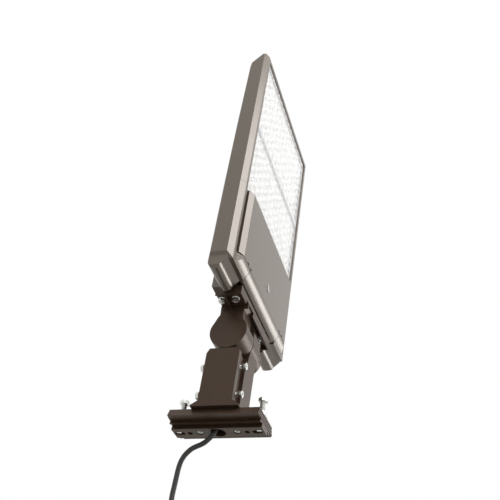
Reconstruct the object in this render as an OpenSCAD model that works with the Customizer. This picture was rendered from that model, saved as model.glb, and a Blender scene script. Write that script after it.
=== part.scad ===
// Shoebox area light on an adjustable arm, with its pole plate. Millimetres, +Z up.
// The head stands above the mount, its lens side faces -Y, and X runs across the head.
// Origin: centre of the pole plate's pole face.

/* [Pole plate] */
// Length of the extruded plate along Y
plate_len = 168; // [150:1:220]
// Width of the plate's top face
plate_top_w = 73.5; // [66:0.5:90]
// Height of the plate over the pole face
plate_h = 27.5; // [24:0.5:36]
// Distance of the pole holes from the plate's ends
pole_hole_inset = 31; // [28:1:33]
// Radius of the pole holes
pole_hole_r = 4.5; // [3:0.25:5]
// Distance of the slots' centres from the plate's ends
slot_inset = 12; // [11:0.5:15]
// Radius of the pole bolts' shanks
pole_bolt_r = 5; // [4:0.5:5.5]
// Height of the pole bolts' heads over the plate
pole_bolt_rise = 30; // [24:1:45]

/* [Sleeve and spigot] */
// Height of the flared neck on the plate
neck_h = 11.5; // [9:0.5:16]
// How far the neck flares out on the lens side and the back
neck_flare = 13; // [8:0.5:14]
// Height of the rectangular sleeve
sleeve_h = 107; // [95:1:130]
// Width of the sleeve across the head
sleeve_w = 89; // [80:1:100]
// Depth of the sleeve, lens side to back
sleeve_d = 63.7; // [58:0.5:70]
// Wall between the sleeve's lens side and its cavity
sleeve_front_wall = 14.7; // [13:0.5:17]
// Wall of the sleeve's other sides
sleeve_wall = 9; // [7:0.5:10]
// Clearance round the spigot in the sleeve
spigot_gap = 0.3; // [0.1:0.1:0.5]
// Wall of the spigot
spigot_wall = 4; // [3:0.5:5]
// Radius of the set bolts' shanks
set_bolt_r = 4; // [3:0.5:4.5]

/* [Knuckle] */
// Radius of the knuckle's discs
knuckle_r = 36; // [32:0.5:38]
// Clearance under the arm's disc
knuckle_gap = 1.2; // [0.8:0.1:3]
// Thickness of the friction washer between the two halves
washer_t = 2; // [1:0.25:3]
// Radius of the pivot bolt's shank
pivot_r = 6; // [5:0.5:7]
// Radial clearance of the pivot bolt in the sleeve
pivot_gap = 0.06; // [0.02:0.01:0.1]
// How far the round end stands out of the sleeve's far side
boss_h = 23.5; // [18:0.5:28]

/* [Arm bracket] */
// Width of the flange on the head's end
flange_w = 189; // [170:1:200]
// Height of the flange plate over the knuckle's axis
flange_rise = 57; // [56:0.5:66]
// Thickness of the flange plate
flange_t = 10; // [8:0.5:12]
// Height of the ribs under the flange plate
flange_rib_h = 9; // [6:0.5:10]
// Thickness of the gasket between arm and head
arm_gasket_t = 2; // [1:0.25:3]
// Radius of the flange bolts' shanks
arm_bolt_r = 4; // [3:0.5:5]

/* [Head] */
// Width of the lens opening
lens_w = 324; // [300:1:360]
// Height of the lower lens
lens_lower_h = 187.3; // [160:0.1:220]
// Height of the upper lens
lens_upper_h = 203.7; // [180:0.1:240]
// Height of the driver compartment, end face to lens
bay_h = 190; // [180:1:220]
// Width of the rim round the lens
rim_w = 9; // [7:0.5:12]
// Width of the bevel outside the rim
bevel = 9.5; // [7:0.5:12]
// Depth of the head, rim to back
head_d = 43; // [42:0.5:50]
// How far the driver bay stands out at the back
bay_bulge = 37; // [34:1:44]
// Wall of the castings
wall = 4; // [3:0.25:5]
// Pitch of the cooling fins
fin_pitch = 16.4; // [12:0.1:26]
// Thickness of a cooling fin
fin_t = 2.6; // [2:0.1:4]

/* [Optics] */
// Pitch of the lens domes, both ways
dome_pitch = 22; // [18:0.5:28]
// Radius of a lens dome at its foot
dome_r = 6.5; // [4.5:0.25:8]
// Height of a lens dome
dome_h = 3.2; // [1.5:0.1:4]

/* [Door] */
// How far the door's face stands out of the rim
door_rise = 9.5; // [8:0.5:12]
// Width of the door at its foot
door_w = 300; // [280:1:304]
// Thickness of the door
door_t = 2.5; // [2:0.25:3.5]
// Width of the door's hinged middle at the lower end
hinge_w = 208; // [196:1:220]
// Radius of the hinge pins
hinge_pin_r = 2; // [1.5:0.25:2.5]
// Radial clearance of the hinge pins in the door
hinge_gap = 0.06; // [0.02:0.01:0.1]
// Height of the door latch over the head's end face
latch_rise = 62; // [60:1:80]

/* [Supply cable] */
// Radius of the cable
cable_r = 4.5; // [3:0.25:4.5]
// Radius of one core
core_r = 1.3; // [0.9:0.1:1.4]
// Bare length of the cores
core_len = 45; // [20:1:80]

/* [Hidden] */
$fn = 64;
eps = 1;

// Mount, from the pole upwards
plate_wide = plate_top_w + 13.5;
foot_w = 32;
neck_z = plate_h + neck_h;
sleeve_top = neck_z + sleeve_h;
sleeve_x0 = -sleeve_w / 2 - 2;
sleeve_x1 = sleeve_w / 2 - 2;
sleeve_y0 = -sleeve_d / 2 - 1.85;
sleeve_y1 = sleeve_d / 2 - 1.85;
cavity_x0 = sleeve_x0 + sleeve_wall;
cavity_x1 = sleeve_x1 - sleeve_wall;
cavity_y0 = sleeve_y0 + sleeve_front_wall;
cavity_y1 = sleeve_y1 - sleeve_wall;
cavity_h = sleeve_h - 14;
spigot_h = cavity_h - 8;
set_x = -21;
set_low = neck_z + 0.22 * 107;
set_high = neck_z + 0.757 * 107;
pole_hole_y = plate_len / 2 - pole_hole_inset;
slot_y = plate_len / 2 - slot_inset;
slot_half = 4;
slot_r = pole_bolt_r + 0.3;
cable_hole_r = 13.5;

// Knuckle
axis_y = -4.5;
axis_z = sleeve_top + knuckle_gap + knuckle_r;
half_x = washer_t / 2;
pivot_depth = 34;
boss_x1 = sleeve_x1 + boss_h;

// Arm flange, from the ribs' lower edge to its top
flange_z1 = axis_z + flange_rise + flange_t;
flange_z0 = flange_z1 - flange_t;
rib_z0 = flange_z0 - flange_rib_h;
flange_y0 = -38;
flange_y1 = 22;
arm_bolt_x = 70;
arm_bolt_y0 = -19;
arm_bolt_y1 = 8;
arm_bolt_depth = 20;
neck_x1 = 48;
neck_y0 = -29;
neck_y1 = 14;
passage_x = -20;
passage_y = 9.5;
passage_r = 5.5;
gland_r = 8;

// Head, from its end face to the top
end_z = flange_z1 + arm_gasket_t;
bump_z = end_z - 21;
lens_z0 = end_z + bay_h;
lens_z1 = lens_z0 + lens_lower_h;
lens_z2 = lens_z1 + lens_upper_h;
top_z = lens_z2 + rim_w + bevel;
open_x = lens_w / 2;
door_x = door_w / 2;
seat_x = door_x + 12;
rim_x = max(open_x, seat_x) + rim_w;
side_x = rim_x + bevel;
face_y = -head_d;
bevel_y = face_y + bevel;
floor_y = bevel_y;
floor_t = 6;
recess_x = hinge_w / 2 + 0.5;
recess_y = -25;

// Driver bay
seat_y = -34;
mouth_x = door_x - 12;
mouth_z0 = end_z + 43;
mouth_z1 = lens_z0 - 12;
bay_y = -wall;
deep_x = 84;
deep_y = bay_bulge - wall;
tray_t = 1.5;
tray_y0 = bay_y - tray_t;
tray_rise = 68;
tray_head = 20;
tray_z0 = end_z + tray_rise;
tray_z1 = lens_z0 - tray_head;
driver_foot = 15;
driver_head = 25;
driver_d = bay_bulge - wall - bay_y - 3;

// Door and its hinge
door_y = face_y - door_rise;
door_z0 = end_z + 26;
door_z1 = lens_z0 - 1;
lip_z = end_z + 2;
lip_y = face_y + 4;
lip_bow = 3;
pin_y = -41;
pin_z = end_z + 16;
lug_r = 4.6;
latch_x = 2;
latch_z = end_z + latch_rise;

// Optics
lens_y = face_y + 3;
lens_t = 3;
lens_foot_y = floor_y - 2;
board_t = 1.6;
edge_in = 4;

// Cable route from inside the spigot out of the plate, Y and Z
exit_route = [
    [0, 56], [0, 44], [0, 32], [0.5, 23], [2.5, 13.5], [6, 4.5], [10.5, -4], [16, -11.5],
    [22, -17.5], [29, -22], [37, -25.5], [45, -30], [52, -37], [57.5, -45.5], [61, -56],
    [62.5, -68], [63, -82], [63.5, -98], [64, -116]
];
// Lower part: it hangs down and swings back under the plate
lead_drop = 192.5;
lead_swing = 78;
lead_parts = 12;
route = concat(exit_route, [
    for (i = [1 : lead_parts])
        let (t = i / lead_parts, s = t * t * (3 - 2 * t))
        exit_route[len(exit_route) - 1] - [lead_swing * s, lead_drop * t]
]);
tube_sides = 8;

// Colours
c_bronze = [0.36, 0.31, 0.27];
c_dark = [0.26, 0.21, 0.17];
c_steel = [0.72, 0.72, 0.71];
c_clear = [0.93, 0.94, 0.95];
c_rubber = [0.12, 0.12, 0.12];

// A box between two corners
module span(a, b) {
    translate(a) cube(b - a);
}

// A profile in Y and Z, drawn from x0 to x1
module along_x(x0, x1, p) {
    translate([x0, 0, 0]) rotate([90, 0, 90]) linear_extrude(x1 - x0) polygon(p);
}

// A profile in X and Y, drawn from z0 to z1
module along_z(z0, z1, p) {
    translate([0, 0, z0]) linear_extrude(z1 - z0) polygon(p);
}

// A profile in X and Z, drawn from y0 to y1
module along_y(y0, y1, p) {
    translate([0, y1, 0]) rotate([90, 0, 0]) linear_extrude(y1 - y0) polygon(p);
}

// Rods along each axis
module rod_x(x0, x1, y, z, r, sides = 64) {
    translate([x0, y, z]) rotate([0, 90, 0]) cylinder(h = x1 - x0, r = r, $fn = sides);
}
module rod_y(y0, y1, x, z, r, sides = 64) {
    translate([x, y0, z]) rotate([-90, 0, 0]) cylinder(h = y1 - y0, r = r, $fn = sides);
}
module rod_z(z0, z1, x, y, r, sides = 64) {
    translate([x, y, z0]) cylinder(h = z1 - z0, r = r, $fn = sides);
}

// Both sides of the head
module both() {
    children();
    mirror([1, 0, 0]) children();
}

// A half section in X, closed by its mirror image
function whole(p) = concat(p, [for (i = [len(p) - 1 : -1 : 0]) [-p[i][0], p[i][1]]]);

// ---- Head ----

// Outline of the slab seen from the front, with its lower corners cut
module slab(z0) {
    intersection() {
        along_z(z0, top_z, whole([
            [rim_x, face_y], [side_x, bevel_y], [side_x, -2], [side_x - 2, 0]
        ]));
        along_x(-side_x, side_x, [
            [face_y, z0], [face_y, top_z - bevel], [bevel_y, top_z], [bevel_y + 27, top_z - 31],
            [-4.5, top_z - 46], [0, lens_z0], [0, z0]
        ]);
        along_y(face_y, 0, whole([
            [side_x - 5, top_z], [side_x, top_z - 5], [side_x, end_z + 11], [side_x - 10, end_z],
            [side_x - 10, z0]
        ]));
    }
}

// Rounded end behind the lower corners
module bump() {
    r = 13;
    x = side_x - 5;
    intersection() {
        union() {
            along_x(-x, x, [
                [face_y + 7, end_z + 20], [face_y + 7, end_z + 1], [-r, bump_z], [1.5 - r, bump_z],
                [1.5, bump_z + r], [1.5, end_z + 20]
            ]);
            rod_x(-x, x, 1.5 - r, bump_z + r, r);
        }
        along_y(face_y, bay_bulge, whole([
            [x, end_z + 20], [x, bump_z + 6], [x - 6, bump_z]
        ]));
    }
}

// Rounded lower end of the door and of the corners beside it, from the face to the lip
function lip_line() = [
    for (i = [0 : 6])
        let (t = i / 6, bow = 4 * lip_bow * t * (1 - t))
        [door_y + (lip_y - door_y) * t - 0.87 * bow, door_z0 + (lip_z - door_z0) * t - 0.49 * bow]
];

// Raised corners beside the door's hinged middle
module corner_wedge() {
    intersection() {
        along_x(recess_x, seat_x, concat(lip_line(), [[face_y + 9, lip_z], [face_y + 9, door_z0]]));
        along_z(end_z, door_z0 - 1, [
            [recess_x, door_y], [door_x - 7.5, door_y], [seat_x, face_y + 4],
            [seat_x, face_y + 9], [recess_x, face_y + 9]
        ]);
    }
}

// Driver bay at the back
module bay_shell() {
    along_x(-deep_x - wall - 2, deep_x + wall + 2, [
        [-10, end_z], [22, end_z], [25.5, end_z + 4], [25.5, end_z + 45],
        [bay_bulge, tray_z0 - 2],
        [bay_bulge, lens_z0 - 14], [bay_bulge - 26, lens_z0 + 6], [-10, lens_z0 + 6]
    ]);
}

// Fin channels behind the optics
module channels() {
    n = floor((rim_x - 6) / fin_pitch);
    for (i = [-n : n - 1])
        span([i * fin_pitch + fin_t / 2, floor_y + floor_t, lens_z0 + 14],
             [(i + 1) * fin_pitch - fin_t / 2, eps, lens_z2 + 2]);
}

function frame_screw_spots() = [
    for (i = [0 : 3]) lens_z0 + 34 + i * (lens_z2 - lens_z0 - 66) / 3
];
frame_screw_x = rim_x + 1;

module housing() {
    color(c_bronze)
    difference() {
        union() {
            difference() {
                union() {
                    slab(end_z);
                    bump();
                }
                // Recess of the arm between the lower corners
                span([-recess_x, face_y - eps, bump_z - eps],
                     [recess_x, bay_bulge, end_z]);
                // Seat of the door, the recess for its hinged middle
                span([-seat_x, face_y - eps, door_z0 - 1], [seat_x, seat_y, lens_z0]);
                span([-recess_x, face_y - eps, end_z - eps], [recess_x, recess_y, mouth_z0 - 8]);
            }
            bay_shell();
            both() corner_wedge();
        }
        // The frame takes the place of the rim beside the optics
        span([-side_x - eps, face_y - eps, lens_z0], [side_x + eps, floor_y, top_z + eps]);
        channels();
        // Mouth and cavity of the driver bay
        span([-mouth_x, seat_y - eps, mouth_z0], [mouth_x, bay_y, mouth_z1]);
        span([-deep_x, bay_y - eps, mouth_z0], [deep_x, deep_y - 12, mouth_z1]);
        span([-deep_x, bay_y, tray_z0], [deep_x, deep_y, mouth_z1 - 16]);
        // Holes: cable, arm bolts, hinge pins, tray screws, frame screws, earth point
        rod_z(end_z - eps, mouth_z0 + eps, passage_x, passage_y, gland_r);
        arm_bolt_spots() rod_z(end_z - eps, end_z + arm_bolt_depth + 2, 0, 0, arm_bolt_r);
        both() rod_x(recess_x - eps, recess_x + 9, pin_y, pin_z, hinge_pin_r);
        both() for (z = [tray_z0 + 10, tray_z1 - 10])
            rod_y(bay_y - eps, bay_y + 3, tray_screw_x, z, 2);
        both() for (z = frame_screw_spots()) {
            rod_y(floor_y - eps, floor_y + floor_t + eps, frame_screw_x, z, 2.1);
            rod_y(floor_y + floor_t, eps, frame_screw_x, z, 4);
        }
        // Groove that the latch's cam turns into
        span([latch_x - 17, cam_y - 0.3, mouth_z0 - 6], [latch_x + 17, cam_y + 4.3, mouth_z0 + eps]);
    }
}

module lens_frame() {
    color(c_bronze)
    difference() {
        intersection() {
            slab(lens_z0);
            span([-side_x, face_y, lens_z0], [side_x, floor_y, top_z]);
        }
        span([-open_x, face_y - eps, lens_z0 - eps], [open_x, floor_y + eps, lens_z2]);
        span([-open_x - edge_in, lens_y, lens_z0 - eps],
             [open_x + edge_in, floor_y + eps, lens_z2 + edge_in]);
        both() for (z = frame_screw_spots()) rod_y(floor_y - 4.5, floor_y + eps, frame_screw_x, z, 2);
    }
}

// Number of domes across a length
function domes(len) = floor(len / dome_pitch);
dome_cols = domes(lens_w - 8);

// One optic plate: a shallow tray with a dome over each light source
module lens(z0, z1, rows, first) {
    x = open_x + edge_in - 0.3;
    color(c_clear)
    difference() {
        union() {
            span([-x, lens_y, z0], [x, lens_foot_y, z1]);
            for (i = [0 : dome_cols - 1], j = [0 : rows - 1])
                translate([(i - (dome_cols - 1) / 2) * dome_pitch, lens_y + 0.5, first + j * dome_pitch])
                    rotate([90, 0, 0])
                        cylinder(h = dome_h + 0.5, r1 = dome_r, r2 = 0.62 * dome_r, $fn = 8);
        }
        span([4 - x, lens_y + lens_t, z0 + 4], [x - 4, lens_foot_y + eps, z1 - 4]);
    }
}

rows_lower = domes(lens_lower_h - 8);
rows_upper = domes(lens_upper_h - 5);
first_lower = lens_z0 + (lens_lower_h - (rows_lower - 1) * dome_pitch) / 2;
first_upper = lens_z1 + (lens_upper_h - (rows_upper - 1) * dome_pitch) / 2;

module lens_lower() lens(lens_z0 + 0.3, lens_z1 - 0.15, rows_lower, first_lower);
module lens_upper() lens(lens_z1 + 0.15, lens_z2 + edge_in - 0.3, rows_upper, first_upper);

module lens_gasket() {
    x = open_x + edge_in - 0.3;
    color(c_rubber)
    difference() {
        span([-x, lens_foot_y, lens_z0 + 0.3], [x, floor_y, lens_z2 + edge_in - 0.3]);
        span([4 - x, lens_foot_y - eps, lens_z0 + 4.3], [x - 4, floor_y + eps, lens_z1 - 4]);
        span([4 - x, lens_foot_y - eps, lens_z1 + 4], [x - 4, floor_y + eps, lens_z2 - 0.3]);
    }
}

module led_board(z0, z1) {
    x = open_x - 2;
    color([0.9, 0.9, 0.88]) span([-x, floor_y - board_t, z0], [x, floor_y, z1]);
}
module led_board_lower() led_board(lens_z0 + 5.5, lens_z1 - 5);
module led_board_upper() led_board(lens_z1 + 5, lens_z2 - 1.5);

// Light sources, one under each dome
module leds(rows, first) {
    color([0.95, 0.85, 0.45])
    for (i = [0 : dome_cols - 1], j = [0 : rows - 1])
        translate([(i - (dome_cols - 1) / 2) * dome_pitch, floor_y - board_t, first + j * dome_pitch])
            span([-2.5, -1.2, -2.5], [2.5, 0, 2.5]);
}
module leds_lower() leds(rows_lower, first_lower);
module leds_upper() leds(rows_upper, first_upper);

module frame_screws() {
    color(c_steel)
    both() for (z = frame_screw_spots()) difference() {
        union() {
            rod_y(floor_y - 4.5, floor_y + floor_t, frame_screw_x, z, 2);
            rod_y(floor_y + floor_t, floor_y + floor_t + 2.4, frame_screw_x, z, 3.6);
        }
        rod_y(floor_y + floor_t + 0.9, floor_y + floor_t + 3, frame_screw_x, z, 1.5, 6);
    }
}

// ---- Gear in the driver bay ----

tray_x = mouth_x - 10;
tray_screw_x = tray_x - 10;
driver_x = 75;
driver_z0 = tray_z0 + driver_foot;
driver_z1 = tray_z1 - driver_head;
driver_screw_x = 60;
driver_screw_z = (driver_z0 + driver_z1) / 2;

module gear_tray() {
    color([0.75, 0.76, 0.77])
    difference() {
        union() {
            span([-tray_x, tray_y0, tray_z0], [tray_x, bay_y, tray_z1]);
            span([-tray_x, tray_y0 - 8, tray_z0], [tray_x, bay_y, tray_z0 + tray_t]);
            span([-tray_x, tray_y0 - 8, tray_z1 - tray_t], [tray_x, bay_y, tray_z1]);
        }
        both() {
            for (z = [tray_z0 + 10, tray_z1 - 10])
                rod_y(tray_y0 - eps, bay_y + eps, tray_screw_x, z, 2.2);
            rod_y(tray_y0 - eps, bay_y + eps, driver_screw_x, driver_screw_z, 2.2);
        }
    }
}

module led_driver() {
    color([0.2, 0.2, 0.21])
    difference() {
        along_x(-driver_x, driver_x, [
            [bay_y, driver_z0 + 1], [bay_y, driver_z1 - 1], [bay_y + 5, driver_z1],
            [bay_y + driver_d - 4, driver_z1], [bay_y + driver_d, driver_z1 - 4],
            [bay_y + driver_d, driver_z0 + 4], [bay_y + driver_d - 4, driver_z0],
            [bay_y + 5, driver_z0]
        ]);
        both() {
            rod_y(bay_y - eps, bay_y + 6, driver_screw_x, driver_screw_z, 2);
            // Seam of the end caps
            difference() {
                span([driver_x - 9, bay_y + 2, driver_z0 - eps],
                     [driver_x - 8, bay_y + driver_d + eps, driver_z1 + eps]);
                span([driver_x - 10, bay_y + 1, driver_z0 + 0.8],
                     [driver_x - 7, bay_y + driver_d - 0.8, driver_z1 - 0.8]);
            }
        }
    }
}

surge_w = 36;
surge_d = 22;
surge_foot = 27;
surge_body = 20;
module surge_protector() {
    x0 = 16 - tray_x;
    x1 = x0 + surge_w;
    x = (x0 + x1) / 2;
    y0 = tray_y0 - surge_d;
    z = (tray_z0 + tray_z1) / 2;
    color([0.82, 0.82, 0.8])
    difference() {
        union() {
            along_z(z - surge_body, z + surge_body, [
                [x0, tray_y0], [x0, y0 + 4], [x0 + 4, y0], [x1 - 4, y0], [x1, y0 + 4], [x1, tray_y0]
            ]);
            span([x0, tray_y0 - 2, z - surge_foot], [x1, tray_y0, z + surge_foot]);
        }
        for (s = [-1, 1]) rod_y(y0, tray_y0 + eps, x, z + s * (surge_foot - 3.5), 1.8);
        rod_z(z + surge_body - 8, z + surge_body + eps, x, y0 + 10, 3);
    }
}

ways = 5;
way_w = 11;
block_d = 17;
block_half = 10;
module terminal_block() {
    x1 = tray_x - 37;
    x0 = x1 - ways * way_w - 1;
    y0 = tray_y0 - block_d;
    z = tray_z0 + driver_foot + block_d;
    color([0.9, 0.9, 0.88])
    difference() {
        span([x0, y0, z - block_half], [x1, tray_y0, z + block_half]);
        for (i = [0 : ways - 1]) {
            x = x0 + 6 + way_w * i;
            rod_z(z - block_half - eps, z + block_half + eps, x, y0 + 10, 2.4);
            rod_y(y0 - eps, y0 + 10, x, z, 2);
        }
        for (i = [1 : ways - 1])
            span([x0 + way_w * i, y0 - eps, z - block_half - eps],
                 [x0 + way_w * i + 1, y0 + 6, z + block_half + eps]);
    }
}

module tray_screw(x, z, depth) {
    difference() {
        union() {
            rod_y(tray_y0, bay_y + depth, x, z, 2);
            rod_y(tray_y0 - 2.2, tray_y0, x, z, 3.8);
        }
        rod_y(tray_y0 - 3, tray_y0 - 0.9, x, z, 1.5, 6);
    }
}
module tray_screws() {
    color(c_steel) both() {
        for (z = [tray_z0 + 10, tray_z1 - 10]) tray_screw(tray_screw_x, z, 3);
        tray_screw(driver_screw_x, driver_screw_z, 6);
    }
}

module cable_gland() {
    color(c_rubber)
    difference() {
        union() {
            rod_z(mouth_z0 - 18, mouth_z0, passage_x, passage_y, gland_r);
            rod_z(mouth_z0, mouth_z0 + 4, passage_x, passage_y, gland_r + 2.5);
            rod_z(mouth_z0 + 4, mouth_z0 + 10, passage_x, passage_y, gland_r - 1, 6);
        }
        rod_z(mouth_z0 - 19, mouth_z0 + 11, passage_x, passage_y, cable_r + 0.2);
    }
}

// ---- Door ----

door_foot_y = seat_y - 2;

module door_shell() {
    difference() {
        intersection() {
            along_z(door_z0, door_z1, whole([
                [door_x - 7.5, door_y], [door_x, face_y], [door_x, door_foot_y]
            ]));
            // The lower end is curved round the hinge, so it clears the corners as it opens
            along_x(-door_x, door_x, [
                [door_y, door_z0], [pin_y - 8, pin_z + 12.8], [pin_y - 4, pin_z + 15],
                [pin_y, pin_z + 16], [door_foot_y, pin_z + 16], [door_foot_y, door_z1],
                [face_y, door_z1], [door_y, door_z1 - 7]
            ]);
        }
        intersection() {
            along_z(door_z0, door_z1, whole([
                [door_x - 8.5 - door_t / 2, door_y + door_t], [door_x - door_t, face_y + door_t / 2],
                [door_x - door_t, door_foot_y + eps]
            ]));
            along_x(-door_x, door_x, [
                [door_y + door_t, door_z0 + 6], [pin_y - 3, pin_z + 18.5], [door_foot_y + eps, pin_z + 18.5],
                [door_foot_y + eps, door_z1 - door_t], [face_y + 1, door_z1 - door_t],
                [door_y + door_t, door_z1 - 6 - door_t]
            ]);
        }
    }
}

module door() {
    x = hinge_w / 2;
    color(c_bronze)
    difference() {
        union() {
            door_shell();
            // Rib over the gasket's lower bar, its ends inside the sloped sides
            along_z(mouth_z0 - 6, mouth_z0 - 3, whole([
                [door_x - 9.5, door_y + door_t - eps], [door_x - door_t / 2, face_y + door_t],
                [door_x - door_t / 2, door_foot_y]
            ]));
            // Hinged middle: sloped strip with a return
            along_x(-x, x, concat(lip_line(), [
                [face_y + 8.5, lip_z], [face_y + 8.5, lip_z + door_t], [lip_y + 1.5, lip_z + door_t],
                [door_y + 1.2 * door_t, door_z0 + 1.5], [door_y + 1.2 * door_t, door_z0 + 8],
                [door_y, door_z0 + 8]
            ]));
            both() {
                rod_x(x - 12, x, pin_y, pin_z, lug_r);
                span([x - 12, pin_y - 2.5, pin_z], [x, pin_y + 2.5, pin_z + 17]);
            }
        }
        both() {
            rod_x(x - 13, x + eps, pin_y, pin_z, hinge_pin_r + hinge_gap);
            // Reliefs at the ends of the strip
            span([x - 6, door_y - eps, door_z0 - 1], [x - 1.5, door_y + door_t + 2, door_z0 + 4]);
            span([x + 11, door_y - eps, door_z0 - 1], [x + 17, door_y + 1.6, door_z0 + 4]);
        }
        rod_y(door_y - eps, door_y + door_t + eps, latch_x, latch_z, 3.1);
    }
}

module door_gasket() {
    x = door_x - 0.5;
    color(c_rubber)
    difference() {
        span([-x, door_foot_y, mouth_z0 - 7.5], [x, seat_y, door_z1 - 0.5]);
        span([7.5 - x, door_foot_y - eps, mouth_z0 - 1], [x - 7.5, seat_y + eps, mouth_z1 + 3]);
    }
}

module hinge_pins() {
    color(c_steel) both() rod_x(hinge_w / 2 - 10, recess_x + 9, pin_y, pin_z, hinge_pin_r);
}

cam_y = seat_y + 4.8;
module door_latch() {
    color(c_steel)
    union() {
        rod_y(door_y - 0.4, cam_y + 4, latch_x, latch_z, 3);
        // Slanting key bar on the face
        translate([latch_x, door_y - 1.6, latch_z]) rotate([0, -35, 0]) {
            span([-2, 0, -6], [2, 1.6, 6]);
            rod_y(0, 1.6, 0, 6, 2);
            rod_y(0, 1.6, 0, -6, 2);
        }
        // Collar behind the door's face, and the cam
        rod_y(door_y + door_t + 0.1, door_y + door_t + 2.6, latch_x, latch_z, 6);
        span([latch_x, cam_y, latch_z - 4.5], [latch_x + 24, cam_y + 4, latch_z + 4.5]);
        rod_y(cam_y, cam_y + 4, latch_x, latch_z, 4.5);
    }
}

// ---- Arm ----

module arm_bolt_spots() {
    both() for (y = [arm_bolt_y0, arm_bolt_y1]) translate([arm_bolt_x, y, 0]) children();
}

module arm_gasket() {
    color(c_rubber)
    difference() {
        span([10 - flange_w / 2, recess_y + 1, flange_z1], [flange_w / 2 - 10, flange_y1 - 2, end_z]);
        arm_bolt_spots() rod_z(flange_z1 - eps, end_z + eps, 0, 0, arm_bolt_r + 0.4);
        rod_z(flange_z1 - eps, end_z + eps, passage_x, passage_y, gland_r);
    }
}

module arm_bracket() {
    fx = flange_w / 2;
    color(c_dark)
    difference() {
        union() {
            along_x(-fx, fx, [
                [flange_y0, flange_z0], [flange_y0, flange_z1], [flange_y1, flange_z1],
                [flange_y1 - 6, flange_z0]
            ]);
            // Ribs round the bolt pockets
            both() {
                span([fx - 3, flange_y0, rib_z0], [fx, flange_y1 - 9, flange_z0 + eps]);
                span([46, -6, rib_z0], [fx, -2.5, flange_z0 + eps]);
                span([46, flange_y0, rib_z0], [49, flange_y1 - 9, flange_z0 + eps]);
                span([62, flange_y0, rib_z0], [fx, flange_y0 + 3.5, flange_z0 + eps]);
            }
            span([-18, flange_y0, rib_z0], [63, flange_y0 + 3.5, flange_z0 + eps]);
            // Neck and near half of the knuckle
            along_x(sleeve_x0, -half_x, [
                [axis_y - knuckle_r, axis_z], [neck_y0 - 2, axis_z + 20], [neck_y0, axis_z + 36],
                [neck_y0, rib_z0], [flange_y0 + 3, flange_z0 + eps], [18, flange_z0 + eps],
                [17, axis_z + 38], [20, axis_z + 33], [axis_y + knuckle_r - 4, axis_z + 16],
                [axis_y + knuckle_r, axis_z]
            ]);
            span([-half_x - eps, neck_y0, rib_z0 - 2], [neck_x1, neck_y1, flange_z0 + eps]);
            rod_x(sleeve_x0, -half_x, axis_y, axis_z, knuckle_r);
        }
        rod_x(-pivot_depth, -half_x + eps, axis_y, axis_z, pivot_r);
        rod_z(axis_z - knuckle_r - eps, flange_z1 + eps, passage_x, passage_y, passage_r);
        arm_bolt_spots() rod_z(flange_z0 - eps, flange_z1 + eps, 0, 0, arm_bolt_r + 0.4);
    }
}

module arm_bolts() {
    color(c_steel)
    arm_bolt_spots() difference() {
        union() {
            rod_z(flange_z0, end_z + arm_bolt_depth, 0, 0, arm_bolt_r);
            rod_z(flange_z0 - 1.6, flange_z0, 0, 0, 8);
            rod_z(flange_z0 - 6.9, flange_z0 - 1.6, 0, 0, 7.5, 6);
        }
        rod_z(flange_z0 - 8, flange_z0 - 6.4, 0, 0, 4);
    }
}

// ---- Knuckle ----

module friction_washer() {
    color([0.55, 0.5, 0.42])
    difference() {
        rod_x(-half_x, half_x - 0.05, axis_y, axis_z, knuckle_r - 4);
        rod_x(-half_x - eps, half_x + eps, axis_y, axis_z, pivot_r + 0.3);
    }
}

bolt_seat_x = boss_x1 - 12;
module pivot_bolt() {
    color(c_steel)
    difference() {
        union() {
            rod_x(1 - pivot_depth, bolt_seat_x + 2.05, axis_y, axis_z, pivot_r);
            rod_x(bolt_seat_x + 2.05, bolt_seat_x + 9.5, axis_y, axis_z, 10.4, 6);
        }
        rod_x(bolt_seat_x + 9, bolt_seat_x + 11, axis_y, axis_z, 7);
    }
}

module pivot_washer() {
    color(c_steel)
    difference() {
        rod_x(bolt_seat_x, bolt_seat_x + 2, axis_y, axis_z, 12);
        rod_x(bolt_seat_x - eps, bolt_seat_x + 3, axis_y, axis_z, pivot_r + 0.3);
    }
}

module arm_sleeve() {
    front = axis_y - knuckle_r + 2;
    color(c_dark)
    difference() {
        union() {
            along_x(sleeve_x0, sleeve_x1, [
                [sleeve_y0, neck_z], [sleeve_y0, sleeve_top - 5], [sleeve_y0 + 4, sleeve_top],
                [sleeve_y1 - 5, sleeve_top], [sleeve_y1, sleeve_top - 10], [sleeve_y1, neck_z]
            ]);
            // Far half of the knuckle
            along_x(half_x, sleeve_x1, [
                [sleeve_y0, sleeve_top - 6], [front, axis_z], [front, axis_z + 25],
                [axis_y, axis_z + knuckle_r - 2], [sleeve_y1, axis_z], [sleeve_y1, sleeve_top - 11]
            ]);
            rod_x(half_x, sleeve_x1, axis_y, axis_z, knuckle_r);
            rod_x(sleeve_x1 - eps, boss_x1, axis_y, axis_z, knuckle_r - 4.3);
        }
        span([cavity_x0, cavity_y0, neck_z - eps], [cavity_x1, cavity_y1, neck_z + cavity_h]);
        // Way of the cable to the knuckle
        rod_z(neck_z + cavity_h - eps, sleeve_top + eps, passage_x, passage_y, passage_r + 3);
        // Channel of the lens side's set bolts
        span([set_x - 14, sleeve_y0 - eps, neck_z - eps], [set_x + 15, sleeve_y0 + 6, sleeve_top + eps]);
        for (z = [set_low, set_high]) rod_y(sleeve_y0 - eps, sleeve_y1 + eps, set_x, z, set_bolt_r);
        rod_x(half_x - eps, bolt_seat_x + eps, axis_y, axis_z, pivot_r + pivot_gap);
        rod_x(bolt_seat_x, boss_x1 + eps, axis_y, axis_z, 14);
    }
}

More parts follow.
